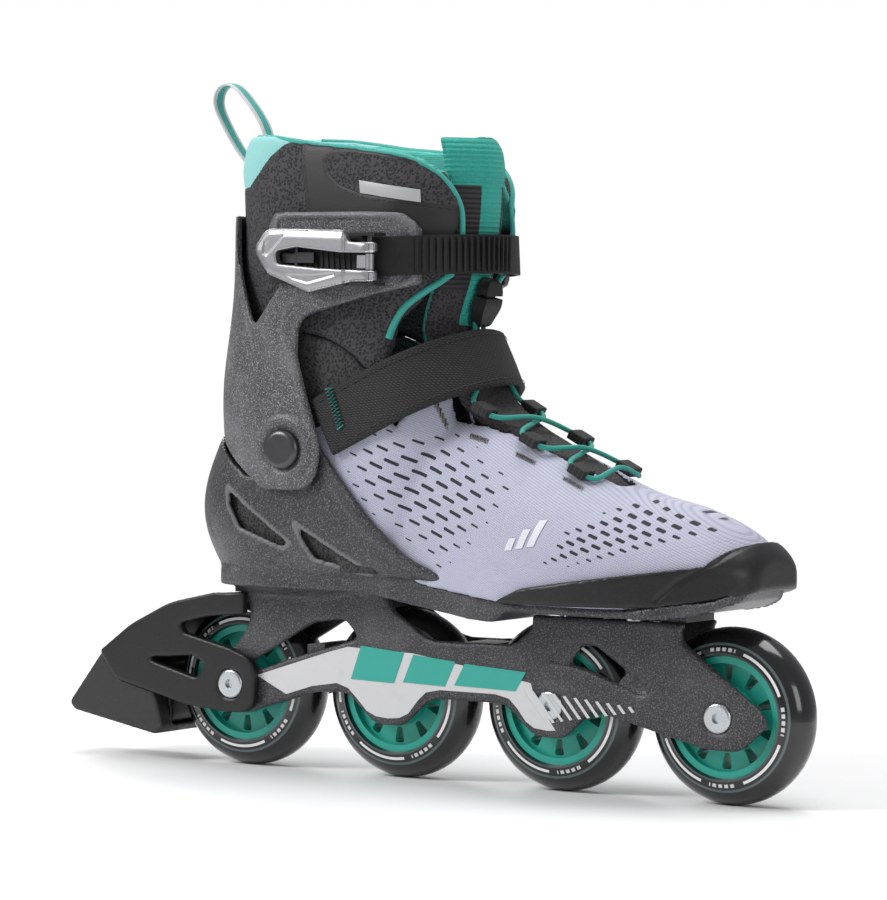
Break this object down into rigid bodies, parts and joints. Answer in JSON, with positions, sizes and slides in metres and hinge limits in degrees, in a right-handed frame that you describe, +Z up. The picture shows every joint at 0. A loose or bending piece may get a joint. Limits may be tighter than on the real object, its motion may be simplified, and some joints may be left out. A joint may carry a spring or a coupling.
{
  "type": "inline skate",
  "caption": "Right-foot fitness inline skate: soft knit boot on a moulded frame with a row of wheels, hinged cuff, ratchet buckle, instep strap, speed lace and heel brake.",
  "frame": {"origin": "on the floor under the wheel line, midway between the two middle axles", "axes": "+X towards the toe, +Y towards the inner (medial) side of the foot, +Z up"},
  "size_m": [0.3964, 0.1112, 0.3265],
  "materials": {
    "black_plastic": "grained moulded nylon",
    "gloss_black": "smooth moulded",
    "urethane": "polished cast urethane",
    "teal_plastic": "moulded hub",
    "zinc_steel": "zinc plated",
    "bearing_steel": "ground",
    "cast_silver": "die cast, satin",
    "rubber": "moulded",
    "knit_lavender": "engineered knit",
    "mesh_black": "spacer mesh",
    "teal_fabric": "brushed knit lining",
    "foam": "foam footbed",
    "teal_cord": "braided elastic cord",
    "black_webbing": "woven webbing",
    "dark_steel": "domed rivet, black oxide"
  },
  "bodies": {
    "chassis": {"axle_bolts": "zinc_steel", "axle_nuts": "zinc_steel", "bearing_inner_1": "bearing_steel", "bearing_inner_2": "bearing_steel", "bearing_inner_3": "bearing_steel", "bearing_inner_4": "bearing_steel", "boot_upper": "knit_lavender", "brake_arm": "gloss_black", "brake_bolt": "zinc_steel", "brake_pad": "rubber", "footbed": "foam", "frame_bolts": "zinc_steel", "frame_bridges": "black_plastic", "heel_cup": "black_plastic", "lace": "teal_cord", "lace_lock": "gloss_black", "lace_loops": "black_webbing", "pivot_rivets": "dark_steel", "power_strap": "black_webbing", "rail_lateral": "black_plastic", "rail_medial": "black_plastic", "sole_plate": "black_plastic", "sole_screws": "zinc_steel", "spacer_1": "bearing_steel", "spacer_2": "bearing_steel", "spacer_3": "bearing_steel", "spacer_4": "bearing_steel", "toe_cap": "gloss_black", "tongue": "mesh_black"},
    "wheel_1": {"tyre_1": "urethane", "hub_1": "teal_plastic", "bearing_outer_1": "bearing_steel"},
    "wheel_2": {"tyre_2": "urethane", "hub_2": "teal_plastic", "bearing_outer_2": "bearing_steel"},
    "wheel_3": {"tyre_3": "urethane", "hub_3": "teal_plastic", "bearing_outer_3": "bearing_steel"},
    "wheel_4": {"tyre_4": "urethane", "hub_4": "teal_plastic", "bearing_outer_4": "bearing_steel"},
    "cuff": {"cuff": "black_plastic", "collar": "mesh_black", "pull_loop": "teal_fabric", "buckle_base": "black_plastic", "buckle_rivets": "zinc_steel", "buckle_pins": "zinc_steel", "ladder_strap": "black_plastic", "strap_screw": "zinc_steel"},
    "lever": {"buckle_lever": "cast_silver", "drive_pawl": "cast_silver"},
    "pawl": {"lock_pawl": "black_plastic"},
    "button": {"lock_button": "gloss_black"}
  },
  "joints": [
    {"name": "wheel_1_spin", "type": "hinge", "parent": "chassis", "child": "wheel_1", "pos_m": [-0.13, 0, 0.04], "axis": [0, 1, 0], "continuous": true},
    {"name": "wheel_2_spin", "type": "hinge", "parent": "chassis", "child": "wheel_2", "pos_m": [-0.04333, 0, 0.04], "axis": [0, 1, 0], "continuous": true},
    {"name": "wheel_3_spin", "type": "hinge", "parent": "chassis", "child": "wheel_3", "pos_m": [0.04333, 0, 0.04], "axis": [0, 1, 0], "continuous": true},
    {"name": "wheel_4_spin", "type": "hinge", "parent": "chassis", "child": "wheel_4", "pos_m": [0.13, 0, 0.04], "axis": [0, 1, 0], "continuous": true},
    {"name": "cuff_flex", "type": "hinge", "parent": "chassis", "child": "cuff", "pos_m": [-0.0833, 0, 0.154], "axis": [0, 1, 0], "range_deg": [0, 7], "stiffness_Nm_per_rad": 4},
    {"name": "lever_swing", "type": "hinge", "parent": "cuff", "child": "lever", "pos_m": [-0.031, -0.0562, 0.242], "axis": [0, 0, 1], "range_deg": [0, 110]},
    {"name": "pawl_release", "type": "hinge", "parent": "cuff", "child": "pawl", "pos_m": [-0.073, -0.0534, 0.242], "axis": [0, 0, 1], "range_deg": [-12, 0], "stiffness_Nm_per_rad": 0.02},
    {"name": "button_press", "type": "slide", "parent": "chassis", "child": "button", "axis": [-0.2588, 0, -0.9659], "range_m": [0, 0.0013], "stiffness_N_per_m": 250}
  ]
}
